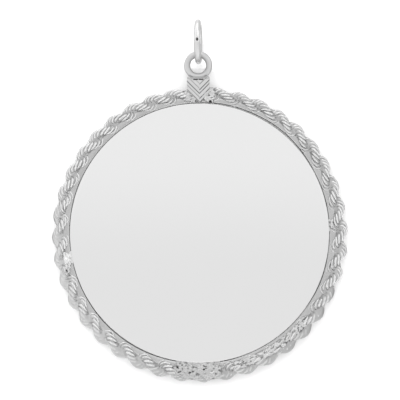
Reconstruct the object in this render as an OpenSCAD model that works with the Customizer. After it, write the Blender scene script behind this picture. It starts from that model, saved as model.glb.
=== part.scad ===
// Disc pendant: a plain polished blank in a twisted rope frame, with a chevron lug and a jump ring.
// The pendant hangs in the XZ plane, its front towards -Y. The origin is the inside top of the jump
// ring, where the chain carries it. Lengths are in millimetres, angles in degrees.

/* [Disc] */
// Diameter of the blank
disc_d = 30; // [28:0.5:32]
// Thickness of the blank
disc_t = 0.7; // [0.5:0.05:0.9]
// Radius of the blank's polished edge
disc_edge_r = 0.1; // [0.05:0.01:0.15]

/* [Rope] */
// Outer diameter of the rope frame
rim_d = 34.1; // [33.9:0.1:36]
// Number of places round the rim that a strand's turn takes, an even number
lobes = 40; // [30:2:50]
// Angle of the first bulge clockwise of the top
first_lobe = 7.5; // [5:0.5:9]
// Half thickness of the solder that fills the rope's inner side up to the blank
fillet_half = 0.3; // [0.2:0.02:0.4]
// Half width of the neck where the two strands meet in the rope's middle
waist_half = 0.16; // [0.1:0.02:0.25]
// Depth of the rope where it is pressed flat in the lug, as a share of its round depth
pressed_depth = 0.55; // [0.5:0.01:0.6]
// Half angle over which the rope is pressed flat
pressed_half = 5.6; // [5.4:0.1:7]
// Half angle at which the rope is round again
round_half = 10; // [9:0.5:14]

/* [Lug] */
// Width of the lug
lug_w = 2.62; // [2.4:0.02:2.8]
// Depth of the lug from front to back, without its ribs
lug_depth = 2; // [1.95:0.05:2.2]
// Height of the lug's shoulder above the middle of the blank
lug_top = 18.14; // [18:0.02:18.3]
// Height of the point of its V above the middle of the blank
lug_tip = 15.08; // [15:0.02:15.2]
// Slope of the V's two arms
chevron_slope = 45; // [40:1:48]
// Width of a raised rib, measured up the lug
rib_w = 0.2; // [0.14:0.01:0.24]
// Height of the two main ribs off the face
main_rib_h = 0.12; // [0.08:0.01:0.16]
// Height of the fine rib above them
fine_rib_h = 0.06; // [0.04:0.01:0.08]

/* [Eye] */
// Outer diameter of the eye
eye_od = 3.3; // [3.1:0.05:3.4]
// Diameter of the eye's hole
eye_id = 1.82; // [1.8:0.02:1.9]
// Height of the eye's centre above the middle of the blank
eye_height = 19.45; // [19.4:0.01:19.5]

/* [Jump ring] */
// Outer diameter of the jump ring
ring_od = 5.2; // [5:0.1:6]
// Diameter of the ring's wire
ring_wire = 0.72; // [0.65:0.01:0.75]
// How far the ring is turned about the vertical
ring_turn = 3; // [0:1:8]
// Diameter of the pit left by the ring's closed joint
joint_pit_d = 0.3; // [0.2:0.02:0.4]

/* [Clearances] */
// Gap between the blank and the rope, and between the rope and the lug
seat_gap = 0.04; // [0.02:0.005:0.05]
// Gap between the jump ring's wire and the top of the eye's hole
hang_gap = 0.05; // [0.04:0.01:0.08]

/* [Hidden] */
$fn = 96;

// Heights, counted from the hang point
ring_mean_r = (ring_od - ring_wire) / 2;
ring_inner_r = ring_mean_r - ring_wire / 2;
pivot_z = -2 * ring_inner_r - ring_wire / 2;
eye_z = pivot_z + ring_wire / 2 + hang_gap - eye_id / 2;
disc_z = eye_z - eye_height;

// Rope: two strands turning round a circle
disc_r = disc_d / 2;
rope_r = (rim_d / 2 - disc_r - seat_gap) / 2;
rope_circle_r = rim_d / 2 - rope_r;
strand_off = (rope_r * rope_r - waist_half * waist_half) / (2 * rope_r);
strand_r = rope_r - strand_off;
fillet_reach = 0.5;
rope_turns = lobes / 2;
steps_per_turn = 14;
rope_stations = rope_turns * steps_per_turn;
points_per_strand = 8;
section_points = 2 * points_per_strand;
waist_angle = acos(-strand_off / strand_r);

// Lug
lug_half_w = lug_w / 2;
lug_half_depth = lug_depth / 2;
eye_wire_r = (eye_od - eye_id) / 4;
eye_mean_r = (eye_od + eye_id) / 4;
lug_shoulder_drop = 0.42;
lug_top_half_depth = 0.42;
lug_corner = 0.14;
channel_half = rope_r * pressed_depth + seat_gap;
chevron_rise = tan(chevron_slope);
chevron_pitch = 0.97;
ribs = [[0, main_rib_h], [1, main_rib_h], [1.8, fine_rib_h]]; // pitches above the tip, height
rib_field_top = lug_top - lug_shoulder_drop - 0.08;
slot_w = 1.16;
slot_h = 0.11;
slot_deep = 0.3;
slot_z = lug_top - 0.37;
slot_web = 0.08;
neck_w = 2.3;
neck_top_w = 1.9;
neck_h = 0.3;
neck_depth = 0.5;
overlap = 0.2;

// Jump ring: how far its pit lies above the level of the ring's centre
pit_angle = 1;

// A point of the rope's section, which is two round strands side by side that share a narrow waist
function section_point(i) =
    let (strand = floor(i / points_per_strand), j = i % points_per_strand)
    let (turn = j * 2 * waist_angle / points_per_strand - waist_angle)
    let (u = strand_off + strand_r * cos(turn), v = strand_r * sin(turn))
    strand == 0 ? [u, v] : [-u, -v];

// The rope's depth at an angle from the top, as a share of its round depth
function depth_share(a) =
    let (off = min(abs(a), abs(360 - a)))
    let (t = min(max((off - pressed_half) / (round_half - pressed_half), 0), 1))
    pressed_depth + (1 - pressed_depth) * (1 - cos(180 * t)) / 2;

// How far the solder draws a point inwards, as a share of its way to the rope's inner side
function fillet_share(out, back) =
    min(max((strand_r / 2 - out) / fillet_reach, 0), 1) * exp(-pow(back / fillet_half, 2));

// Section point p carried to angle a, clockwise of the top, and turned with the strands
function rope_point(a, p) =
    let (turn = (a - first_lobe) * rope_turns)
    let (u = p[0] * cos(turn) - p[1] * sin(turn), v = -(p[0] * sin(turn) + p[1] * cos(turn)))
    let (out = u - (rope_r + u) * fillet_share(u, v), r = rope_circle_r + out)
    [r * sin(a), v * depth_share(a), r * cos(a)];

// Corner number of section point i at station s, both counted round
function corner(s, i) = (s % rope_stations) * section_points + i % section_points;

module from_disc_centre() {
    translate([0, 0, disc_z]) children();
}

// Turns a profile drawn with X outwards and Y backwards about the blank's axis
module round_disc_axis() {
    from_disc_centre() rotate([-90, 0, 0]) rotate_extrude($fn = 240) children();
}

// A prism of an outline drawn in X and Z, reaching from the front to the back depth
module slab(front, back) {
    translate([0, back, 0]) rotate([90, 0, 0]) linear_extrude(back - front) children();
}

module disc() {
    half = disc_t / 2;
    color("gainsboro") round_disc_axis() {
        translate([0, -half]) square([disc_r - disc_edge_r, disc_t]);
        translate([0, disc_edge_r - half]) square([disc_r, disc_t - 2 * disc_edge_r]);
        for (side = [-1, 1])
            translate([disc_r - disc_edge_r, side * (half - disc_edge_r)]) circle(disc_edge_r);
    }
}

module rope_frame() {
    corners = [
        for (s = [0 : rope_stations - 1], i = [0 : section_points - 1])
            rope_point(360 * s / rope_stations, section_point(i))
    ];
    skin = [
        for (s = [0 : rope_stations - 1], i = [0 : section_points - 1])
            for (half = [0, 1])
                half == 0
                    ? [corner(s, i), corner(s + 1, i), corner(s + 1, i + 1)]
                    : [corner(s, i), corner(s + 1, i + 1), corner(s, i + 1)]
    ];
    color("silver") from_disc_centre() polyhedron(points = corners, faces = skin);
}

// The lug's face: straight sides, cut shoulders and a V below
module shield() {
    polygon([
        [0, lug_tip],
        [lug_half_w, lug_tip + lug_half_w * chevron_rise],
        [lug_half_w, lug_top - lug_corner],
        [lug_half_w - lug_corner, lug_top],
        [lug_corner - lug_half_w, lug_top],
        [-lug_half_w, lug_top - lug_corner],
        [-lug_half_w, lug_tip + lug_half_w * chevron_rise]
    ]);
}

// The lug seen from the side: upright leaves with sloped shoulders
module side_profile() {
    polygon([
        [-lug_half_depth, lug_tip - overlap],
        [lug_half_depth, lug_tip - overlap],
        [lug_half_depth, lug_top - lug_shoulder_drop],
        [lug_top_half_depth, lug_top],
        [-lug_top_half_depth, lug_top],
        [-lug_half_depth, lug_top - lug_shoulder_drop]
    ]);
}

// One V of the face, with its point at the given height
module chevron(tip) {
    arm = lug_half_w * chevron_rise;
    intersection() {
        polygon([
            [0, tip],
            [lug_half_w, tip + arm],
            [lug_half_w, tip + arm + rib_w],
            [0, tip + rib_w],
            [-lug_half_w, tip + arm + rib_w],
            [-lug_half_w, tip + arm]
        ]);
        translate([-lug_half_w, lug_tip]) square([lug_w, rib_field_top - lug_tip]);
    }
}

module lug_body() {
    difference() {
        intersection() {
            slab(-lug_half_depth, lug_half_depth) shield();
            rotate([90, 0, 90]) linear_extrude(lug_w + overlap, center = true) side_profile();
        }
        rotate([-90, 0, 0]) rotate_extrude($fn = 240)
            translate([lug_tip - 1, -channel_half])
                square([rim_d / 2 + seat_gap - lug_tip + 1, 2 * channel_half]);
        for (side = [-1, 1])
            translate([side * (slot_w + slot_web) / 4, -lug_half_depth, slot_z])
                cube([(slot_w - slot_web) / 2, 2 * slot_deep, slot_h], center = true);
    }
}

module eye() {
    translate([0, 0, eye_height]) rotate([90, 0, 0]) rotate_extrude()
        translate([eye_mean_r, 0]) circle(eye_wire_r);
    slab(-neck_depth / 2, neck_depth / 2) polygon([
        [-neck_w / 2, lug_top - overlap],
        [neck_w / 2, lug_top - overlap],
        [neck_w / 2, lug_top],
        [neck_top_w / 2, lug_top + neck_h],
        [-neck_top_w / 2, lug_top + neck_h],
        [-neck_w / 2, lug_top]
    ]);
}

module bail_lug() {
    color("silver") from_disc_centre() {
        lug_body();
        for (rib = ribs)
            slab(-lug_half_depth - rib[1], -lug_half_depth + rib[1])
                chevron(lug_tip + rib[0] * chevron_pitch);
        eye();
    }
}

module jump_ring() {
    color("silver") translate([0, 0, -ring_inner_r]) rotate([0, 0, -ring_turn]) difference() {
        rotate([0, 90, 0]) rotate_extrude()
            translate([ring_mean_r, 0]) circle(d = ring_wire);
        rotate([-pit_angle, 0, 0]) translate([0, -ring_od / 2, 0]) sphere(d = joint_pit_d);
    }
}

jump_ring();
bail_lug();
rope_frame();
disc();
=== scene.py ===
import math

import bpy
import numpy as np
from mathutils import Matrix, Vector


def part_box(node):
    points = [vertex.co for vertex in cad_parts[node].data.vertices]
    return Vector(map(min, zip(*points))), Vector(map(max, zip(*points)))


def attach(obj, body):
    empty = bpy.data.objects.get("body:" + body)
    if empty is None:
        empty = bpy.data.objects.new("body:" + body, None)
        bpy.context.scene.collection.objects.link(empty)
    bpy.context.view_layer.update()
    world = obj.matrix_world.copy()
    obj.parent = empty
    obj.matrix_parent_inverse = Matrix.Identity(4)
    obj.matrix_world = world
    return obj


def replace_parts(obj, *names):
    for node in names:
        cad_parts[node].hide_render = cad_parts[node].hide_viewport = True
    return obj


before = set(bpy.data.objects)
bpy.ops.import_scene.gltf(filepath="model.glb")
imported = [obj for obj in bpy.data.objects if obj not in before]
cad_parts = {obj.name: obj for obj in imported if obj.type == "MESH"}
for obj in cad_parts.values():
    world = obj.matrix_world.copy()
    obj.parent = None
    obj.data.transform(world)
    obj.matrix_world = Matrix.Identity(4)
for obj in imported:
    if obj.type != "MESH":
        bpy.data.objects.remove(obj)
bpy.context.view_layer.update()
mm = 0.001

# The boxes of the disc and the rope give the disc's middle, both radii and the lowest point
discLow, discHigh = (np.array(corner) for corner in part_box("disc"))
ropeLow, ropeHigh = (np.array(corner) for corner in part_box("rope_frame"))
discCentre = (discLow + discHigh) / 2
discRadius = (discHigh[0] - discLow[0]) / 2
rimRadius = (ropeHigh[2] - ropeLow[2]) / 2
print(f"frame loaded: disc radius {discRadius / mm:.2f} mm, rim radius {rimRadius / mm:.2f} mm")


# One socket of a node tree. Arithmetic on it adds Math nodes, and node() adds any other node.
class Wire:
    def __init__(self, tree, socket=None):
        self.tree = tree
        self.socket = socket

    # Settings come first, then the values or links of the sockets by name or number
    def node(self, kind, settings=None, inputs=None, output=0):
        made = self.tree.nodes.new(kind)
        for name, value in (settings or {}).items():
            if name == "stops":
                ramp = made.color_ramp.elements
                for place, shade in value[2:]:
                    ramp.new(place)
                for stop, (place, shade) in zip(ramp, value):
                    stop.position, stop.color = place, (shade, shade, shade, 1)
            else:
                setattr(made, name, value)
        for name, value in (inputs or {}).items():
            if isinstance(value, Wire):
                self.tree.links.new(value.socket, made.inputs[name])
            else:
                made.inputs[name].default_value = value
        return Wire(self.tree, made.outputs[output])

    def maths(self, operation, *values):
        return self.node("ShaderNodeMath", {"operation": operation}, dict(enumerate(values)))

    def __add__(self, other):
        return self.maths("ADD", self, other)

    def __sub__(self, other):
        return self.maths("SUBTRACT", self, other)

    def __rsub__(self, other):
        return self.maths("SUBTRACT", other, self)

    def __mul__(self, other):
        return self.maths("MULTIPLY", self, other)

    def __truediv__(self, other):
        return self.maths("DIVIDE", self, other)

    def __rtruediv__(self, other):
        return self.maths("DIVIDE", other, self)

    __radd__ = __add__
    __rmul__ = __mul__

    def __neg__(self):
        return self * -1.0

    def __abs__(self):
        return self.maths("ABSOLUTE", self)

    # 0 below low, 1 above high, and a smooth step between them
    def step(self, low, high):
        settings = {"interpolation_type": "SMOOTHSTEP"}
        return self.node("ShaderNodeMapRange", settings, {0: self, 1: low, 2: high})

    def split(self):
        parts = self.node("ShaderNodeSeparateXYZ", None, {0: self}).socket.node.outputs
        return [Wire(self.tree, parts[axis]) for axis in range(3)]

    def grey(self):
        return self.node("ShaderNodeCombineColor", None, {0: self, 1: self, 2: self})

    def feed(self, socket):
        self.tree.links.new(self.socket, socket)


# How each polished surface looks: tone and its spread, roughness and its spread, how strong its fine bumps
# are and how fine they are
finishColumns = ("tone", "toneSpread", "rough", "roughSpread", "bump", "grain")
finishes = {
    "ring": (0.87, 0.03, 0.10, 0.06, 0.10, 1500),
    "lug": (0.73, 0.08, 0.32, 0.12, 0.6, 4000),
    "rope": (0.88, 0.06, 0.10, 0.08, 0.25, 3000),
    "solder": (0.58, 0.10, 0.26, 0.14, 0.45, 2600),
    "core": (0.64, 0.15, 0.35, 0.10, 0.30, 2600),
    "join": (0.84, 0.30, 0.18, 0.16, 0.5, 3200),
    "disc": (0.91, 0.01, 0.05, 0.02, 0.02, 900),
}
wear = {
    "coarser": 6,  # how many times coarser the broad noise is than the fine one
    "broadDetail": 3.0,
    "fineDetail": 5.0,
    "darkTone": 0.95,  # share of the tone that is lost where it is quite dark, and where quite dull
    "dullTone": 0.14,
    "darkRough": 0.3,  # roughness added there
    "dullRough": 0.35,
    "bumpHeight": 0.01 * mm,
}


# A new material with its node tree and its shader
def newMaterial(name):
    material = bpy.data.materials.new(name)
    material.use_nodes = True
    tree = material.node_tree
    return material, tree, tree.nodes["Principled BSDF"]


# Polished silver. A broad noise moves its tone, and a fine one its gloss and its surface. The mesh's dark
# value is mostly painted shade, in grooves, cuts, creases, pits and recesses, with some tone that differs at
# random, and its dull value marks where it is worn dull. Both take tone away and add roughness.
def silver(name):
    look = dict(zip(finishColumns, finishes[name]))
    material, tree, shader = newMaterial("silver_" + name)
    place = Wire(tree).node("ShaderNodeTexCoord", output=3)
    coarse = {"Vector": place, "Scale": look["grain"] / wear["coarser"], "Detail": wear["broadDetail"]}
    broad = place.node("ShaderNodeTexNoise", None, coarse)
    small = {"Vector": place, "Scale": look["grain"], "Detail": wear["fineDetail"]}
    fine = place.node("ShaderNodeTexNoise", None, small)
    # dark: painted shade in hollows, plus some random tone
    dark = place.node("ShaderNodeAttribute", {"attribute_name": "dark"}, output=2)
    dull = place.node("ShaderNodeAttribute", {"attribute_name": "dull"}, output=2)
    tone = look["tone"] + (broad - 0.5) * look["toneSpread"]
    tone = tone * (1 - dark * wear["darkTone"]) * (1 - dull * wear["dullTone"])
    rough = look["rough"] + (fine - 0.5) * look["roughSpread"]
    rough = rough + dark * wear["darkRough"] + dull * wear["dullRough"]
    tone.grey().feed(shader.inputs["Base Color"])
    rough.feed(shader.inputs["Roughness"])
    bump = {"Strength": look["bump"], "Distance": wear["bumpHeight"], "Height": fine}
    place.node("ShaderNodeBump", None, bump).feed(shader.inputs["Normal"])
    shader.inputs["Metallic"].default_value = 1.0
    return material


# Gives a piece its one material
def dress(piece, material):
    piece.data.materials.clear()
    piece.data.materials.append(material)


# A piece from one list of points, the corner numbers of its four-sided faces and how dark and dull each
# point is
def meshPiece(name, points, faces, dark, material, body, dull=0):
    corners = facingOut(points, faces).astype(np.int32)
    mesh = bpy.data.meshes.new(name)
    mesh.vertices.add(len(points))
    mesh.vertices.foreach_set("co", np.asarray(points, np.float32).ravel())
    mesh.loops.add(corners.size)
    mesh.loops.foreach_set("vertex_index", corners.ravel())
    mesh.polygons.add(len(corners))
    mesh.polygons.foreach_set("loop_start", np.arange(0, corners.size, 4, dtype=np.int32))
    mesh.polygons.foreach_set("use_smooth", np.ones(len(corners), bool))
    mesh.update(calc_edges=True)
    for label, share in (("dark", dark), ("dull", dull)):
        values = np.clip(share + np.zeros(len(points)), 0, 1).astype(np.float32)
        mesh.attributes.new(label, "FLOAT", "POINT").data.foreach_set("value", values)
    piece = bpy.data.objects.new(name, mesh)
    bpy.context.scene.collection.objects.link(piece)
    dress(piece, material)
    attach(piece, body)
    return piece


# Faces between the points of grids in a row, each closed on itself along the rows, the columns or both
def gridFaces(count, rows, columns, closeRows=True, closeColumns=True):
    grid = np.arange(count)[:, None, None]
    row = np.arange(rows if closeRows else rows - 1)[None, :, None]
    column = np.arange(columns if closeColumns else columns - 1)[None, None, :]
    nextRow, nextColumn = (row + 1) % rows, (column + 1) % columns
    corners = [(row, column), (nextRow, column), (nextRow, nextColumn), (row, nextColumn)]
    numbers = [grid * rows * columns + a * columns + b for a, b in corners]
    shape = (count, row.size, column.size)
    return np.stack([np.broadcast_to(number, shape) for number in numbers], -1).reshape(-1, 4)


# Faces that meet in one middle point, for the end of a closed grid: each takes two steps of the last ring
def poleFaces(ring, middle):
    first = ring[::2]
    return np.stack([np.full_like(first, middle), first, ring[1::2], np.roll(first, -1)], -1)


# A closed shell between a front and a back grid of points whose rows and columns match. The front's
# darkness is given, and the back has none.
def shell(front, back, dark):
    rows, columns = front.shape[:2]
    points = np.concatenate([front, back[:, ::-1]], 1)
    shade = np.concatenate([dark, 0 * dark], 1).ravel()
    sides = gridFaces(1, rows, 2 * columns, closeRows=False)[:, ::-1]
    left = np.arange(columns - 1)
    cap = np.stack([left, left + 1, 2 * columns - 2 - left, 2 * columns - 1 - left], -1)
    lastCap = cap[:, ::-1] + (rows - 1) * 2 * columns
    return points.reshape(-1, 3), np.concatenate([sides, cap, lastCap]), shade


# Corners turned round where needed so that a closed surface's faces look outwards
def facingOut(points, faces):
    a, b, c, d = (points[faces[:, corner]] for corner in range(4))
    volume = np.sum(a * np.cross(b, c) + a * np.cross(c, d))
    return faces if volume > 0 else faces[:, ::-1]


# Several parts of points, faces and darkness put into one list
def joined(parts):
    starts = np.cumsum([0] + [len(part[0]) for part in parts])
    points = np.concatenate([part[0] for part in parts])
    faces = np.concatenate([facingOut(*part[:2]) + start for part, start in zip(parts, starts)])
    dark = np.concatenate([part[2] + np.zeros(len(part[0])) for part in parts])
    return points, faces, dark


# 0 below low, 1 above high, and a smooth step between them
def smoothStep(value, low, high):
    t = np.clip((value - low) / (high - low), 0, 1)
    return t * t * (3 - 2 * t)


# A bell of height 1 round a middle. A higher power makes its top flatter and its sides steeper.
def bell(value, middle, half, power=2):
    return np.exp(-(((value - middle) / half) ** power))


# The angles of a full turn in even steps
def fullTurn(steps):
    return 2 * math.pi * np.arange(steps) / steps


# Directions outwards, forwards and along the rim at angles measured clockwise from the top
def rimDirections(angle):
    zero = np.zeros_like(angle)
    outward = np.stack([np.sin(angle), zero, np.cos(angle)], -1)
    forward = np.stack([zero, zero - 1, zero], -1)
    along = np.stack([np.cos(angle), zero, -np.sin(angle)], -1)
    return outward, forward, along


# A point by its radius, its height in front of the disc's middle and its angle from the top
def rimPoint(radius, front, angle):
    outward, forward, along = rimDirections(angle)
    return discCentre + outward * np.asarray(radius)[..., None] + forward * np.asarray(front)[..., None]


blankLook = {
    "radius": discRadius + 0.02 * mm,  # it takes up part of the gap round the solid
    "halfThick": 0.35 * mm,
    "edge": 0.045 * mm,  # radius of its polished edges
    "edgeSteps": 7,
    "flatRings": (0.1, 0.4, 0.7, 0.9, 0.98),  # rings of points on a flat face, as shares of its radius
    "around": 360,
}


seamLook = {
    "outer": 15.90 * mm,  # radius that the solder reaches between the wires
    "front": 0.34 * mm,  # half depth in front
    "back": 0.30 * mm,
    "fullness": 0.35,  # the lower, the fuller its section
    "steps": 720,
    "section": 20,
    "groove": 0.006 * mm,  # usual width of the open groove beside the disc
    "wideGroove": 0.078 * mm,  # more at the upper right
    "wideMiddle": 24,  # where that is, in degrees from the top, with its half width
    "wideHalf": 31,
    "wideSteep": 6,
    "ripples": ((7, 0.12), (17, 0.10)),  # waves in a full turn, and the share of the width that they move
    "darkFrom": 0.01 * mm,  # between these distances from the groove the solder gets bright
    "darkTo": 0.05 * mm,
    "closedWidth": 0.005 * mm,  # width of a groove that shows no dark, and of one that is fully dark
    "openWidth": 0.04 * mm,
    # Degrees from the top, half width in degrees and mm of width, or the share that it closes
    "swells": ((217, 27, 0.038), (112, 8, 0.034), (168, 5, 0.02), (72, 16, 0.015), (285, 14, 0.012)),
    "closings": ((87, 1.6, 1), (95, 4, 0.6), (138, 14, 0.4), (181.5, 6.5, 1), (259.3, 2.9, 1)),
    "closingSteep": 4,
}


# Width of the groove beside the disc at angles clockwise from the top: its usual width, a broad bell at the
# upper right and a smaller bell for each swell, all rippled by sine waves. It is multiplied by one less a
# bell where it closes, at the solder joins at 3, 6 and 9 o'clock, and where it narrows, at the lower right.
def grooveWidth(angle):
    look = seamLook
    degrees = np.degrees(angle) % 360
    wide = bell(degrees, look["wideMiddle"], look["wideHalf"], look["wideSteep"])
    width = look["groove"] + look["wideGroove"] * wide
    for middle, half, wider in look["swells"]:
        width = width + wider * mm * bell(degrees, middle, half)
    ripple = 1
    for waves, share in look["ripples"]:
        ripple = ripple - share * np.sin(np.radians(degrees * waves))
    width = width * ripple
    for middle, half, closed in look["closings"]:
        width = width * (1 - closed * bell(degrees, middle, half, look["closingSteep"]))
    return width


ropeLook = {
    "turns": 20,  # full twists round the rim
    "firstBulge": 7.5,  # degrees clockwise of the top
    "seed": 7,
    "ringsPerTurn": 16,  # wire rings of one strand in a full twist
    "wire": 0.26 * mm,  # thickness of a ring's wire
    "ringRadius": 0.71 * mm,  # from a ring's centre to the middle of its wire
    "lean": 84,  # degrees that a ring leans along the rope
    "looseness": 0.10,  # how unevenly the rings lean, in radians
    "scatter": 0.025 * mm,  # and lie
    "knock": 0.022 * mm,  # how far their wire is knocked in, which doubles at this angle and round it
    "knockAngle": 135,
    "knockHalf": 35,
    "gap": 0.04 * mm,  # between the disc and the rope
    "proud": 0.03 * mm,  # how far its wires pass the solid's rim
    "around": 12,  # corners round a ring
    "section": 5,  # corners round its wire
    "clear": 0.02 * mm,  # from the groove's edge
    "bulge": 0.09 * mm,  # how far the rim passes its circle, and how much more at the right and the bottom
    "bulgeRight": 0.04 * mm,
    "bulgeDown": 0.17 * mm,
    "innerShade": 0.18,  # painted shade: darker wires on the side of the disc, over this width
    "innerFade": 0.8 * mm,
    "unevenDark": 0.12,  # and from ring to ring
    "leftPaintedLight": 0.75,  # painted light: share of both that is taken away on the left
    "valleyShade": 0.5,  # painted shade: darker wires in the valley between the strands, from and to these half depths
    "deepFrom": 0.45 * mm,
    "deepTo": 0.80 * mm,
    "valleyHalf": 0.4 * mm,  # half width of that valley, and of its soft border
    "valleyFade": 0.3 * mm,
    "dullFrom": -0.2 * mm,  # from the rope's circle, where the dull outer side of the lower rope starts
    "dullTo": 0.3 * mm,
    "lowLeft": 0.75,  # how much the left counts as low
    "lowFrom": 0.25,  # level where the lower rope starts, and where it is reached in full
    "lowTo": 0.65,
    "pressed": 0.55,  # share of its depth that the rope keeps inside the lug
    "rise": 0.22 * mm,  # from the lug's outline to where the rope is round again
}
ropeRadius = (rimRadius + ropeLook["proud"] - discRadius - ropeLook["gap"]) / 2
ropeCircle = rimRadius + ropeLook["proud"] - ropeRadius


# The lug's left and right edge at heights above the disc's middle: a V below, whose point lies a little to
# the right, then straight sides and cut corners on top
def lugEdges(up):
    look = lugLook
    v = np.maximum(up - look["tip"], look["bluntTip"]) / look["slope"]
    half = look["width"] / 2 - np.clip(up - look["top"] + look["corner"], 0, look["corner"])
    return np.maximum(look["aside"] - v, -half), np.minimum(look["aside"] + v, half)


# Moves points of the rope in place. Its section is stretched evenly between the groove and the rim, which
# bulges most at the bottom. Where the lug holds it, its points move towards the disc's plane: the depth
# that they keep is the pressed share inside the lug's outline, and rises smoothly to all of it beyond.
def pressRope(points):
    across, up = points[..., 0] - discCentre[0], points[..., 2] - discCentre[2]
    radius, angle = np.hypot(across, up), np.arctan2(across, up)
    share = (radius - ropeCircle + ropeRadius) / (2 * ropeRadius)
    inner = blankLook["radius"] + grooveWidth(angle) + ropeLook["clear"]
    bulge = ropeLook["bulge"] + ropeLook["bulgeRight"] * np.sin(angle)
    bulge = bulge - ropeLook["bulgeDown"] * np.cos(angle)
    radius = inner + share * (ropeCircle + ropeRadius + bulge - inner)
    across, up = radius * np.sin(angle), radius * np.cos(angle)
    points[..., 0], points[..., 2] = discCentre[0] + across, discCentre[2] + up
    left, right = lugEdges(up)
    outside = np.maximum(left - across, across - right)
    kept = ropeLook["pressed"] + (1 - ropeLook["pressed"]) * smoothStep(outside, 0, ropeLook["rise"])
    points[..., 1] = discCentre[1] + (points[..., 1] - discCentre[1]) * np.where(up > 0, kept, 1)
    return points


lugLook = {
    "width": 2.62 * mm,
    "halfDepth": 1.0 * mm,
    "tip": 15.08 * mm,  # heights above the middle of the disc
    "top": 18.14 * mm,
    "slope": 1.0,  # of the V's arms
    "aside": 0.125 * mm,  # the Vs' points lie to the right of the lug's middle
    "corner": 0.14 * mm,
    "bluntTip": 0.004 * mm,  # half width of the lowest point
    "edge": 0.07 * mm,  # radius of its rounded edges
    "edgeTurn": 0.98,  # how nearly they turn upright
    "shoulderDrop": 0.42 * mm,
    "topHalfDepth": 0.42 * mm,
    "channelHalf": 0.579 * mm,  # half the gap that holds the rope
    "cuts": (  # mm above the tip and strength, of the left arm and of the right
        (0.10, 0.7, 0.02, 1.3),
        (0.62, 0.6, 0.45, 1.0),
        (1.05, 1.0, 1.06, 1.1),
        (1.63, 0.6, 1.45, 1.1),
        (2.20, 0.5, 2.10, 0.8),
    ),
    "cutSpread": 0.05 * mm,
    "cutDepth": 0.13 * mm,
    # painted shade in the cuts
    "cutShade": 0.5,
    "topShade": 0.3,  # painted shade along the top edge, beside the eye, over this height
    "topShadeHeight": 0.09 * mm,
    "slotDrop": 0.37 * mm,
    "slotWidth": 1.16 * mm,
    "slotHeight": 0.14 * mm,
    "slotDepth": 0.42 * mm,
    "slotWeb": 0.09 * mm,
    "rows": 150,
    "columns": 121,
    "crowding": 0.175,  # parts of the half width spaced by a sine, so closer at the edges, and evenly
    "evenness": 0.325,
    "ropeClear": 0.04 * mm,  # between the rim and the top of the gap that holds the rope
    "ceilingClear": 0.01 * mm,  # no row of points lies nearer to the gap's top than this
    "ceilingStep": 0.001 * mm,  # height of the step there
    "leafOverlap": 0.2 * mm,  # how far the back leaf reaches into the lug above the gap
    "leafRows": 40,
    "leafColumns": 33,
}


# How far to the left angles on the rim lie: 1 at 9 o'clock, and 0 on the whole right half
def leftShare(angle):
    return np.maximum(-np.sin(angle), 0)


# 1 on the rim from half past 4 round to 9 o'clock, where the rope's outer side is full of solder and dull,
# and 0 above half past 3 and 10 o'clock
def lowShare(angle):
    level = ropeLook["lowLeft"] * leftShare(angle) - np.cos(angle)
    return smoothStep(level, ropeLook["lowFrom"], ropeLook["lowTo"])


# One strand of the rope: small rings whose centres wind round the rope's own circle. Each ring stands on
# the line from the rope's middle to its centre and leans along the rope. Its wire is a small circle carried
# round the ring, knocked in a little by chance.
def ropeStrand(name, halfTurn):
    look = ropeLook
    wire = look["wire"] / 2
    count = look["turns"] * look["ringsPerTurn"]
    chance = np.random.default_rng(look["seed"] + halfTurn)
    angle = 2 * math.pi * (np.arange(count) + halfTurn / 2) / count
    turn = look["turns"] * (angle - math.radians(look["firstBulge"])) + math.pi * halfTurn
    outward, forward, along = rimDirections(angle)
    c, s = np.cos(turn)[:, None], np.sin(turn)[:, None]
    away = c * outward + s * forward
    onward = c * forward - s * outward
    lean = math.radians(look["lean"]) + chance.normal(0, look["looseness"], (count, 1))
    side = np.sin(lean) * along - np.cos(lean) * onward
    face = np.cross(away, side)
    offset = ropeRadius - look["ringRadius"] - wire
    centre = discCentre + ropeCircle * outward + offset * away
    centre = centre + chance.normal(0, look["scatter"], (count, 3))
    a = fullTurn(look["around"])[None, :, None, None]
    b = fullTurn(look["section"])[None, None, :, None]
    away, side, face, centre = (part[:, None, None, :] for part in (away, side, face, centre))
    knock = look["knock"] * (1 + bell(np.degrees(angle), look["knockAngle"], look["knockHalf"]))
    knocks = knock[:, None, None, None] * chance.normal(0, 1, (count, look["around"], 1, 1))
    reach = look["ringRadius"] - np.abs(knocks) + wire * np.cos(b)
    points = centre + reach * (np.cos(a) * away + np.sin(a) * side) + wire * np.sin(b) * face
    radius = np.hypot(points[..., 0] - discCentre[0], points[..., 2] - discCentre[2])
    # Painted shade darkens the wires towards the disc and in the valley between the strands, with random
    # tone from ring to ring; painted light takes part of it away on the left
    dark = look["innerShade"] * (1 - smoothStep(radius, ropeCircle - look["innerFade"], ropeCircle))
    dark = dark + look["unevenDark"] * chance.uniform(0, 1, (count, 1, 1))
    dark = dark * (1 - look["leftPaintedLight"] * leftShare(angle)[:, None, None])
    deep = 1 - smoothStep(np.abs(points[..., 1] - discCentre[1]), look["deepFrom"], look["deepTo"])
    valley = smoothStep(look["valleyHalf"] - np.abs(radius - ropeCircle), 0, look["valleyFade"])
    dark = dark + look["valleyShade"] * deep * valley
    dull = smoothStep(radius, ropeCircle + look["dullFrom"], ropeCircle + look["dullTo"])
    dull = lowShare(angle)[:, None, None] * dull
    points = pressRope(points).reshape(-1, 3)
    faces = gridFaces(count, look["around"], look["section"])
    metal = ropeSilver
    return meshPiece(name, points, faces, dark.ravel(), metal, "pendant", dull.ravel())


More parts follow.
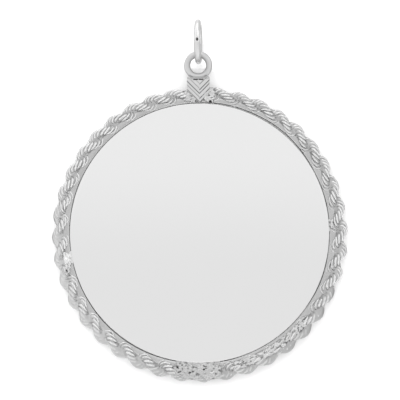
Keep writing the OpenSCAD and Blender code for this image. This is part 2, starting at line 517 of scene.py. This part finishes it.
# The solder inside the rope, just below the wires: a bar with two round lobes that wind with the strands.
# Its radius goes from the waist to the lobe by a power of the section angle's cosine, and there is more of
# it on the rope's outer side.
def ropeCore():
    look, steps, section = coreLook, coreLook["steps"], coreLook["section"]
    angle = fullTurn(steps)[:, None]
    corner = fullTurn(section)[None, :]
    turn = ropeLook["turns"] * (angle - math.radians(ropeLook["firstBulge"])) + corner
    radius = look["waist"] + (look["lobe"] - look["waist"]) * np.abs(np.cos(corner)) ** look["fullness"]
    fill = look["fill"] + look["fillLow"] * lowShare(angle)
    radius = radius + fill * np.maximum(np.cos(turn), 0) * np.abs(np.cos(corner))
    front = radius * np.sin(turn)
    points = pressRope(rimPoint(ropeCircle + radius * np.cos(turn), front, angle + 0 * turn)).reshape(-1, 3)
    # The core's darkness is partly the solder's own tone and partly painted shade between the wires, less at
    # the lower left by painted light
    dark = look["dark"] - look["lowerLeftPaintedLight"] * lowShare(angle) * leftShare(angle) + 0 * turn
    faces = gridFaces(1, steps, section)
    return meshPiece("rope_core", points, faces, dark.ravel(), silver("core"), "pendant")


coreLook = {
    "waist": 0.34 * mm,
    "lobe": 0.78 * mm,
    "fullness": 1.7,  # power of the cosine
    "fill": 0.08 * mm,  # more solder on the outer side
    "fillLow": 0.15 * mm,  # and still more along the bottom and the left
    # dark: partly the solder's own darker tone, partly painted shade between the wires
    "dark": 0.21,
    "lowerLeftPaintedLight": 0.21,  # painted light: less dark at the lower left
    "steps": 720,
    "section": 24,
}
ropeSilver = silver("rope")
ropeCore()
for half, name in enumerate(("rope_strand_a", "rope_strand_b")):
    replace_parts(ropeStrand(name, half), "rope_frame")
print("rope wound")


# The polished blank: flat faces joined by a round edge, turned about its axis
def makeBlank():
    look = blankLook
    bend = np.linspace(0, math.pi / 2, look["edgeSteps"])
    flat = (look["radius"] - look["edge"]) * np.array(look["flatRings"])
    edge = look["radius"] - look["edge"] * (1 - np.sin(bend))
    high = look["halfThick"] - look["edge"] * (1 - np.cos(bend))
    reach = np.concatenate([flat, edge, edge[::-1], flat[::-1]])
    front = np.concatenate([0 * flat + look["halfThick"], high, -high[::-1], 0 * flat - look["halfThick"]])
    angle = fullTurn(look["around"])[None, :]
    rows = len(reach)
    points = rimPoint(reach[:, None] + 0 * angle, front[:, None] + 0 * angle, angle + 0 * reach[:, None])
    middles = rimPoint(np.zeros(2), np.array([1, -1]) * look["halfThick"], np.zeros(2))
    ring = np.arange(look["around"])
    last = rows * look["around"]
    poles = [poleFaces(ring, last), poleFaces(ring + last - look["around"], last + 1)[:, ::-1]]
    faces = np.concatenate([gridFaces(1, rows, look["around"], closeRows=False)] + poles)
    points = np.concatenate([points.reshape(-1, 3), middles])
    return meshPiece("polished_blank", points, faces, 0, silver("disc"), "pendant")


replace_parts(makeBlank(), "disc")
print("blank made")


# The solder between the disc and the rope: a full round wedge carried round the rim, whose depth is a power
# of the section angle's sine. It starts at the groove beside the disc, where painted shade darkens it as far
# as that groove is open.
def solderFillet():
    look = seamLook
    angle = fullTurn(look["steps"])[:, None]
    section = fullTurn(look["section"])[None, :]
    inner = blankLook["radius"] + grooveWidth(angle)
    radius = inner + (look["outer"] - inner) * (0.5 - 0.5 * np.cos(section))
    height = np.sign(np.sin(section)) * np.abs(np.sin(section)) ** look["fullness"]
    front = np.where(height > 0, look["front"], look["back"]) * height + 0 * radius
    points = pressRope(rimPoint(radius, front, angle + 0 * radius)).reshape(-1, 3)
    dark = 1 - smoothStep(radius - inner, look["darkFrom"], look["darkTo"])
    dark = dark * smoothStep(grooveWidth(angle), look["closedWidth"], look["openWidth"])
    faces = gridFaces(1, look["steps"], look["section"])
    metal = silver("solder")
    return meshPiece("solder_fillet", points, faces, dark.ravel(), metal, "pendant")


# Solder joins: for each the angles from and to, the radii from and to in mm, how deep in front it stands as
# a share of the rope's own rounding, the size of its lumps in mm, how many it has and how dark it is
joinLook = {
    "joins": (
        (0.8, 7.2, 15.18, 17.00, 0.84, 0.12, 120, 0.20),
        (-6.4, -0.4, 15.12, 16.60, 0.80, 0.16, 60, 0.25),
        (171.0, 191.5, 15.00, 17.05, 0.86, 0.13, 340, 0.34),
        (256.2, 262.5, 15.00, 16.00, 0.90, 0.20, 30, 0.03),
        (253.2, 257.2, 15.55, 16.30, 0.90, 0.10, 60, 0.15),
        (128.0, 167.0, 15.38, 16.42, 0.82, 0.10, 310, 0.22),
        (84.2, 89.6, 15.00, 15.60, 0.90, 0.12, 30, 0.15),
    ),
    "pinholes": (  # angle, radius and size in mm
        (5.14, 15.25, 0.17),
        (184.33, 16.20, 0.12),
        (182.26, 16.61, 0.09),
        (178.59, 15.76, 0.08),
        (173.87, 16.35, 0.08),
        (254.70, 15.92, 0.10),
        (254.10, 16.10, 0.06),
        (255.60, 15.74, 0.06),
    ),
    "seed": 40,
    "lump": 1.3,  # height of the lumps as a share of their size
    "leastLump": 0.6,  # share of its size that a lump has at least, and how much more it has by chance
    "moreLump": 0.8,
    "midLump": 0.5,  # lumps higher than this share stand out of the solder's level, and the others sink
    "stretch": 2.1,  # how much longer than wide they are
    "lean": 0.7,  # how far they turn from the rope's way, in radians
    "creaseShade": 0.35,
    "creaseFrom": 0.1,  # share of a lump's height below which a crease's painted shade is full, and where it ends
    "creaseTo": 0.9,
    "spacing": 0.03 * mm,  # of the points
    "thick": 0.35 * mm,
    "fade": 0.30 * mm,  # width of the outer border that sinks into the rope, and of the ends
    "endFade": 0.70 * mm,
    "ragged": 0.8,  # how much the lumps move that border
    "sink": 0.7 * mm,
    "meets": 0.365 * mm,  # least height where the solder meets the disc
    "meetsFrom": 0.2 * mm,  # distances outwards from there between which this least height runs out
    "meetsTo": 0.6 * mm,
    "meetsRim": 0.5,  # share of the sinking border over which it runs out at the ends
    "underLug": 0.93 * mm,  # height that it keeps inside the lug's outline
    "pinDepth": 0.45 * mm,
    "pinMound": 0.12 * mm,  # height of the solder round a pinhole
    "moundReach": 2.5,  # in pinholes' sizes, as are the next two
    "pinDarkFrom": 0.7,
    "pinDarkTo": 1.2,
}


# How far the rope's strands stand out in front: two round bars side by side, of which the higher one counts
def strandFront(radius, angle):
    reach = ropeLook["ringRadius"] + ropeLook["wire"] / 2
    turn = ropeLook["turns"] * (angle - math.radians(ropeLook["firstBulge"]))
    front = 0 * radius
    for side in (1, -1):
        away = radius - ropeCircle - side * (ropeRadius - reach) * np.cos(turn)
        bar = np.sqrt(np.maximum(reach**2 - away**2, 0)) + side * (ropeRadius - reach) * np.sin(turn)
        front = np.maximum(front, bar)
    return front


# Lens-shaped lumps, longer than wide, round chance places of a patch. Where lumps meet the higher one
# counts.
def lumpField(along, across, length, width, chance, lump, count):
    look = joinLook
    lumps = 0 * along
    for place in chance.uniform(0, 1, (count, 4)):
        dx, dz = along - place[0] * length, across - place[1] * width
        lean = look["lean"] * (2 * place[2] - 1)
        onward = dx * math.cos(lean) + dz * math.sin(lean)
        beside = dz * math.cos(lean) - dx * math.sin(lean)
        share = look["leastLump"] + look["moreLump"] * place[3]
        size = lump * mm * share
        lens = 1 - (onward / (look["stretch"] * size)) ** 2 - (beside / size) ** 2
        lumps = np.maximum(lumps, np.sqrt(np.maximum(lens, 0)) * share)
    return lumps


# A join's front lies among the strands, at a share of their height, with its lumps on it. At the ends and
# the rim it sinks into the rope by the square of how near they are, and beside the disc it keeps a least
# height. Pinholes are bell-shaped dents with a low mound round them. Painted shade darkens the creases
# between lumps and the pinholes, on top of the join's own darkness.
def joinShell(number, join):
    look = joinLook
    start, end, inner, outer, share, lump, count, tone = join
    chance = np.random.default_rng(look["seed"] + number)
    middle = (inner + outer) / 2 * mm
    rows = int(math.radians(end - start) * middle / look["spacing"])
    columns = int((outer - inner) * mm / look["spacing"])
    angle = np.radians(np.linspace(start, end, rows))[:, None]
    radius = np.linspace(outer, inner, columns)[None, :] * mm + 0 * angle
    angle = angle + 0 * radius
    along, across = (angle - math.radians(start)) * middle, radius - inner * mm
    length, width = along.max(), across.max()
    lumps = lumpField(along, across, length, width, chance, lump, count)
    rim = np.minimum(np.minimum(along, length - along) / look["endFade"], (width - across) / look["fade"])
    rim = np.clip(rim + look["ragged"] * (lumps - look["midLump"]), 0, 1)
    front = strandFront(radius, angle) * share + look["lump"] * lump * mm * (lumps - look["midLump"])
    front = front - look["sink"] * (1 - rim) ** 2
    meets = look["meets"] * (1 - smoothStep(across, look["meetsFrom"], look["meetsTo"]))
    front = np.maximum(front, meets * smoothStep(rim, 0, look["meetsRim"]))
    left, right = lugEdges(radius * np.cos(angle))
    x = radius * np.sin(angle)
    front = np.where((x > left) & (x < right), np.minimum(front, look["underLug"]), front)
    # Painted shade in the creases between lumps, and below in the pinholes
    dark = tone + look["creaseShade"] * (1 - smoothStep(lumps, look["creaseFrom"], look["creaseTo"]))
    for turn, reach, size in look["pinholes"]:
        away = np.hypot((angle - math.radians(turn)) * reach * mm, radius - reach * mm) / (size * mm)
        front = front + look["pinMound"] * bell(away, 0, look["moundReach"])
        front = front - look["pinDepth"] * bell(away, 0, 1)
        dark = dark + 1 - smoothStep(away, look["pinDarkFrom"], look["pinDarkTo"])
    back = np.minimum(front - look["thick"], 0)
    return shell(rimPoint(radius, front, angle), rimPoint(radius, back, angle), dark)


# All the joins as one piece
def solderJoins():
    parts = [joinShell(number, join) for number, join in enumerate(joinLook["joins"])]
    points, faces, dark = joined(parts)
    return meshPiece("solder_joins", points, faces, dark, silver("join"), "pendant")


solderFillet()
solderJoins()
print("solder laid")


# How far a plain face of the lug stands out at points: its full depth, with shoulders that slope back and
# a rounded outline
def plainFace(across, up):
    look = lugLook
    shoulder = np.clip((up - look["top"] + look["shoulderDrop"]) / look["shoulderDrop"], 0, 1)
    out = look["halfDepth"] + (look["topHalfDepth"] - look["halfDepth"]) * shoulder
    left, right = lugEdges(up)
    inside = np.minimum(np.minimum(across - left, right - across), look["top"] - up)
    edge = np.clip(1 - inside / look["edge"], 0, 1)
    return out - look["edge"] * (1 - np.sqrt(1 - edge**2 * look["edgeTurn"]))


# How deep the front is cut at points, as a share of a full cut: Vs that are bell-shaped in section
def cutShare(across, up):
    look = lugLook
    away = across - look["aside"]
    level = up - look["tip"] - np.abs(away) * look["slope"]
    share = 0 * level
    for left, leftStrength, right, rightStrength in look["cuts"]:
        cut = np.where(away < 0, left, right) * mm
        strength = np.where(away < 0, leftStrength, rightStrength)
        share = share + strength * bell(level, cut, look["cutSpread"])
    return share


# The two halves of the slot near the top
def inSlot(across, up):
    look = lugLook
    high = np.abs(up - look["top"] + look["slotDrop"]) < look["slotHeight"] / 2
    return high & (np.abs(across) < look["slotWidth"] / 2) & (np.abs(across) > look["slotWeb"] / 2)


# The front face: the plain one less its Vs, and less its slot
def cutFace(across, up):
    look = lugLook
    out = plainFace(across, up) - look["cutDepth"] * cutShare(across, up)
    return np.where(inSlot(across, up), out - look["slotDepth"], out)


# The lug's shell between two faces that are given as functions of the place across and up. Its points lie
# closer together near the edges. The last argument is 1 if the painted shade of its cuts, its slot and its
# top edge counts, and 0 if not.
def lugShell(up, front, back, columns, paintShade):
    look = lugLook
    even = np.linspace(-1, 1, columns)
    share = 0.5 + np.sin(even * math.pi / 2) * look["crowding"] + even * look["evenness"]
    left, right = lugEdges(up)
    across = left[:, None] + (right - left)[:, None] * share
    height = up[:, None] + 0 * across
    frontSide = discCentre + np.stack([across, -front(across, height), height], -1)
    backSide = discCentre + np.stack([across, back(across, height), height], -1)
    # Painted shade: in the cuts, fully dark in the slot, and along the top edge beside the eye
    dark = look["cutShade"] * cutShare(across, height) + inSlot(across, height)
    dark = dark + look["topShade"] * smoothStep(height, look["top"] - look["topShadeHeight"], look["top"])
    return shell(frontSide, backSide, dark * paintShade)


eyeLook = {
    "outer": 3.30 * mm,
    "hole": 1.82 * mm,
    "height": 19.45 * mm,
    "around": 72,
    "section": 24,
    "dark": 0.04,
    "innerShade": 0.22,  # painted shade towards its hole
    "innerFrom": -0.2,  # where that starts, from -1 at the outside to 1 at the hole
    "neckWidth": 2.3 * mm,
    "neckTopWidth": 1.9 * mm,
    "neckRise": 0.3 * mm,
    "neckRoot": 0.2 * mm,  # how far it reaches into the lug
    "neckDepth": 0.5 * mm,
    "neckSquare": 0.4,  # the lower, the squarer its sections
    "neckSteps": 8,
    "neckAround": 40,
}


# The eye: a round bar bent to a ring that faces the front, with painted shade towards its hole
def eyeRing():
    look = eyeLook
    middle, half = (look["outer"] + look["hole"]) / 4, (look["outer"] - look["hole"]) / 4
    a = fullTurn(look["around"])[:, None]
    b = fullTurn(look["section"])[None, :]
    reach = middle + half * np.cos(b)
    up = look["height"] + reach * np.cos(a)
    points = np.stack([reach * np.sin(a), -half * np.sin(b) + 0 * a, up], -1)
    dark = look["dark"] + look["innerShade"] * smoothStep(-np.cos(b), look["innerFrom"], 1) + 0 * a
    return discCentre + points.reshape(-1, 3), gridFaces(1, look["around"], look["section"]), dark.ravel()


# The neck between the lug and the eye: rounded level sections that get narrower upwards, each a circle whose
# sine and cosine are raised to a power that squares it
def neckShell():
    look = eyeLook
    steps, around = look["neckSteps"], look["neckAround"]
    up = np.linspace(-look["neckRoot"], look["neckRise"], steps)[:, None]
    share = np.clip(up / look["neckRise"], 0, 1)
    half = (look["neckWidth"] + (look["neckTopWidth"] - look["neckWidth"]) * share) / 2
    turn = fullTurn(around)[None, :]
    c, s = np.cos(turn), np.sin(turn)
    across = half * np.sign(c) * np.abs(c) ** look["neckSquare"]
    deep = look["neckDepth"] / 2 * np.sign(s) * np.abs(s) ** look["neckSquare"] + 0 * up
    points = np.stack([across, deep, lugLook["top"] + up + 0 * turn], -1).reshape(-1, 3)
    ends = lugLook["top"] + np.array([-look["neckRoot"], look["neckRise"]])
    middles = np.stack([0 * ends, 0 * ends, ends], -1)
    ring, last = np.arange(around), steps * around
    poles = [poleFaces(ring, last)[:, ::-1], poleFaces(ring + last - around, last + 1)]
    faces = np.concatenate([gridFaces(1, steps, around, closeRows=False)[:, ::-1]] + poles)
    return discCentre + np.concatenate([points, middles]), faces, 0


# The inner face of the leaves that hold the rope
def channelFace(across, up):
    return 0 * across - lugLook["channelHalf"]


# The lug and the eye: a front shell that is full above the gap for the rope and a leaf below, the back leaf,
# the eye and the neck
def makeLug():
    look = lugLook
    ceiling = rimRadius + look["ropeClear"]
    rows = np.linspace(look["tip"], look["top"], look["rows"])
    below, above = rows[rows < ceiling - look["ceilingClear"]], rows[rows > ceiling + look["ceilingClear"]]
    up = np.concatenate([below, [ceiling, ceiling + look["ceilingStep"]], above])
    leaf = np.linspace(look["tip"], ceiling + look["leafOverlap"], look["leafRows"])

    # The front shell's back, which steps from the gap's face to the lug's own back
    def backFace(across, height):
        return np.where(height <= ceiling, channelFace(across, height), plainFace(across, height))

    parts = [
        lugShell(up, cutFace, backFace, look["columns"], 1),
        lugShell(leaf, channelFace, plainFace, look["leafColumns"], 0),
        eyeRing(),
        neckShell(),
    ]
    points, faces, dark = joined(parts)
    return meshPiece("lug_and_eye", points, faces, dark, silver("lug"), "pendant")


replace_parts(makeLug(), "bail_lug")
print("lug and eye made")

ringLook = {
    "middle": 2.24 * mm,  # from the ring's centre to the middle of its wire
    "wire": 0.72 * mm,
    "turned": 3,  # degrees about the vertical
    "aside": 0.03 * mm,  # how far it has slid along the eye
    "around": 400,
    "section": 48,
    "pit": 0.17 * mm,  # radius of the pit at its closed joint
    "pitDepth": 0.22 * mm,
    "pitAngle": 1,  # degrees above the level of the ring's centre
    "pitDarkFrom": 0.8,  # where the pit's painted shade ends, in its own radii
    "pitDarkTo": 1.25,
    "dullFade": 0.3 * mm,  # length of wire over which its lower half gets dull
}


# Angles brought between minus and plus half a turn
def halfTurns(angle):
    return (angle + math.pi) % (2 * math.pi) - math.pi


# The jump ring stands edge-on. It is a circle carried round a circle, with a small bell-shaped pit in front
# where its ends were soldered, darkened by painted shade. The ring's lower half is dull, less so towards its
# bottom.
def makeJumpRing():
    look = ringLook
    a = fullTurn(look["around"])[:, None]
    b = fullTurn(look["section"])[None, :]
    alongWire = look["middle"] * halfTurns(a - math.radians(look["pitAngle"]))
    away = np.hypot(alongWire, look["wire"] / 2 * halfTurns(b))
    half = look["wire"] / 2 - look["pitDepth"] * bell(away, 0, look["pit"])
    reach = look["middle"] + half * np.cos(b)
    front, up, side = reach * np.cos(a), reach * np.sin(a), half * np.sin(b)
    turned = math.radians(look["turned"])
    x = side * math.cos(turned) - front * math.sin(turned)
    y = -front * math.cos(turned) - side * math.sin(turned)
    centre = np.array([look["aside"], 0, look["wire"] / 2 - look["middle"]])
    points = (centre + np.stack([x, y, up], -1)).reshape(-1, 3)
    dark = 1 - smoothStep(away, look["pitDarkFrom"] * look["pit"], look["pitDarkTo"] * look["pit"])
    dark = dark.ravel()
    dull = smoothStep(-alongWire, 0, look["dullFade"]) * smoothStep(up, -2 * look["middle"], 0)
    dull = (dull + 0 * away).ravel()
    faces = gridFaces(1, look["around"], look["section"])
    metal = silver("ring")
    return meshPiece("closed_jump_ring", points, faces, dark, metal, "ring", dull)


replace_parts(makeJumpRing(), "jump_ring")
print("jump ring made")

studio = {
    "photoWidth": 46.42 * mm,  # what the picture's width takes in at the pendant
    "lens": 135,
    "sensor": 36,
    "centreRight": 0.087 * mm,  # picture's middle from the disc's middle
    "centreUp": 3.83 * mm,
    "roll": 0.46,  # degrees
    "clipStart": 0.005,  # metres
    "clipEnd": 20,
}


# The camera looks level at the front, a little above the disc's middle
def makeCamera():
    look = studio
    camera = bpy.data.cameras.new("camera")
    camera.lens, camera.sensor_width = look["lens"], look["sensor"]
    camera.clip_start, camera.clip_end = look["clipStart"], look["clipEnd"]
    holder = bpy.data.objects.new("camera", camera)
    bpy.context.scene.collection.objects.link(holder)
    distance = look["photoWidth"] * look["lens"] / look["sensor"]
    holder.location = discCentre + np.array([look["centreRight"], -distance, look["centreUp"]])
    holder.rotation_euler = (math.pi / 2, math.radians(look["roll"]), 0)
    bpy.context.scene.camera = holder


# The tent round the pendant, as brightness by direction. The three belts round the line of sight have a
# value for every 45 degrees, clockwise from straight above.
tent = {
    "frontHigh": 0.915,
    "frontLow": 0.842,
    "oblique": (0.99, 0.85, 1.02, 0.70, 0.90, 0.98, 0.93, 0.80),
    "sides": (1.02, 0.76, 0.70, 0.72, 0.82, 0.96, 1.12, 1.11),
    "behind": (0.90, 0.62, 0.48, 0.60, 0.45, 0.36, 0.44, 0.78),
    "box": 0.34,  # added by a narrow softbox overhead
    "back": 0.80,  # straight behind
    "lamps": ((0.80, -0.33, 0.50, 0.45), (0.72, -0.40, -0.57, 0.4)),  # direction and level
    "paper": 1.5,  # what matt surfaces take in
    "paperLift": 1.3,  # and how much more from above, a little from the left
    "paperUp": 0.985,
    "paperLeft": 0.174,
    # Where soft borders start and end, as the direction's part to the front or back, up, aside or to a lamp
    "frontEdge": (0.90, 0.985),
    "horizon": (-0.05, 0.035),
    "besideEdge": (-0.60, -0.10),
    "behindEdge": (0.10, 0.60),
    "poleEdge": (0.80, 0.97),
    "boxUp": (0.25, 0.40),
    "boxAside": (0.12, 0.30),
    "boxBack": (0.1, 0.4),
    "lampEdge": (0.955, 0.985),
}


# The tent's brightness is the front's, the belts' or the back's by the direction's part to the back, with
# the softbox and the lamps added. The camera sees plain white, and what scatters off matt surfaces comes
# from a paper's light, which is stronger from above.
def makeTent():
    look = tent
    world = bpy.data.worlds.new("tent")
    bpy.context.scene.world = world
    world.use_nodes = True
    tree = world.node_tree
    sky = tree.nodes["Background"]
    direction = Wire(tree).node("ShaderNodeTexCoord", output=0)
    x, y, z = direction.split()
    turn = x.maths("ARCTAN2", x, z) / (2 * math.pi)
    turn = turn.maths("FRACT", turn + 1)

    # A belt's brightness by the turn round the line of sight, halved in the ramp, which stops at 1
    def belt(name):
        count = len(look[name])
        stops = [(k / count, look[name][k % count] / 2) for k in range(count + 1)]
        return turn.node("ShaderNodeValToRGB", {"stops": stops}, {0: turn}) * 2

    front = (-y).step(*look["frontEdge"])
    frontTone = look["frontLow"] + z.step(*look["horizon"]) * (look["frontHigh"] - look["frontLow"])
    beside, behind = y.step(*look["besideEdge"]), y.step(*look["behindEdge"])
    box = z.step(*look["boxUp"]) * (1 - abs(x).step(*look["boxAside"])) * (1 - y.step(*look["boxBack"]))
    around = belt("oblique") * (1 - beside) + belt("sides") * (beside * (1 - behind)) + box * look["box"]
    for lampX, lampY, lampZ, lampLevel in look["lamps"]:
        around = around + (x * lampX + y * lampY + z * lampZ).step(*look["lampEdge"]) * lampLevel
    pole = y.step(*look["poleEdge"])
    back = belt("behind") * (1 - pole) + pole * look["back"]
    inside = (1 - front) * around + behind * back + front * frontTone
    seen = Wire(tree).node("ShaderNodeLightPath", output=0)
    matt = Wire(tree).node("ShaderNodeLightPath", output=2)
    paperLight = look["paper"] + look["paperLift"] * (z * look["paperUp"] - x * look["paperLeft"])
    level = inside + seen * (1 - inside) + matt * (paperLight - inside)
    level.grey().feed(sky.inputs["Color"])
    sky.inputs["Strength"].default_value = 1.0


# A piece of the stage round the pendant
def stagePiece(name, points, faces, material):
    mesh = bpy.data.meshes.new(name)
    mesh.from_pydata(points.tolist(), [], faces.tolist())
    piece = bpy.data.objects.new(name, mesh)
    bpy.context.scene.collection.objects.link(piece)
    dress(piece, material)
    return piece


floorLook = {
    "drop": 12 * mm,  # below the pendant
    "radius": 62 * mm,
    "rings": 24,
    "around": 96,
    "innerShare": 0.001,  # of the radius, for the first ring
    "tone": 0.52,
    "toneSpread": 0.04,
    "grain": 40.0,
    "rough": 0.7,
}


# A flat round floor of level rings
def makeFloor():
    look = floorLook
    angle = fullTurn(look["around"])[None, :]
    reach = look["radius"] * np.linspace(look["innerShare"], 1, look["rings"])[:, None]
    x = discCentre[0] + reach * np.cos(angle)
    y = discCentre[1] + reach * np.sin(angle)
    points = np.stack([x, y, 0 * x + ropeLow[2] - look["drop"]], -1).reshape(-1, 3)
    material, tree, shader = newMaterial("pale_floor")
    place = Wire(tree).node("ShaderNodeTexCoord", output=3)
    grain = place.node("ShaderNodeTexNoise", None, {"Vector": place, "Scale": look["grain"]})
    (look["tone"] + grain * look["toneSpread"]).grey().feed(shader.inputs["Base Color"])
    shader.inputs["Roughness"].default_value = look["rough"]
    faces = gridFaces(1, look["rings"], look["around"], closeRows=False)
    stagePiece("floor", points, faces, material)


backdropLook = {
    "near": 1.06 * mm,  # behind the disc's middle
    "far": 2.9 * mm,  # behind the jump ring
    "bendLow": -5.1 * mm,
    "bendHigh": -3.2 * mm,
    "halfWidth": 45 * mm,
    "top": 14 * mm,
    "rows": 161,
    "tone": 0.95,
    "rough": 0.9,
}


# White paper behind the pendant that takes its soft shadow: an upright sheet that bends back, in a smooth
# step, behind the jump ring. It has only a front and isn't mirrored by the metal.
def makeBackdrop():
    look = backdropLook
    x = np.array([[-1, 1]]) * look["halfWidth"]
    z = np.linspace(ropeLow[2] - floorLook["drop"], look["top"], look["rows"])[:, None]
    y = look["near"] + (look["far"] - look["near"]) * smoothStep(z, look["bendLow"], look["bendHigh"])
    points = np.stack([x + 0 * z, y + 0 * x, z + 0 * x], -1).reshape(-1, 3)
    faces = gridFaces(1, look["rows"], 2, closeRows=False, closeColumns=False)[:, ::-1]
    material, tree, shader = newMaterial("white_paper")
    shader.inputs["Base Color"].default_value = (look["tone"], look["tone"], look["tone"], 1)
    shader.inputs["Roughness"].default_value = look["rough"]
    behind = Wire(tree).node("ShaderNodeNewGeometry", output=6)
    clear = Wire(tree).node("ShaderNodeBsdfTransparent")
    mixed = behind.node("ShaderNodeMixShader", None, {0: behind, 2: clear})
    tree.links.new(shader.outputs[0], mixed.socket.node.inputs[1])
    mixed.feed(tree.nodes["Material Output"].inputs["Surface"])
    paper = stagePiece("backdrop", points, faces, material)
    paper.visible_glossy = False


makeCamera()
makeTent()
makeFloor()
makeBackdrop()
bpy.context.scene.view_settings.view_transform = "Standard"
print("studio ready")
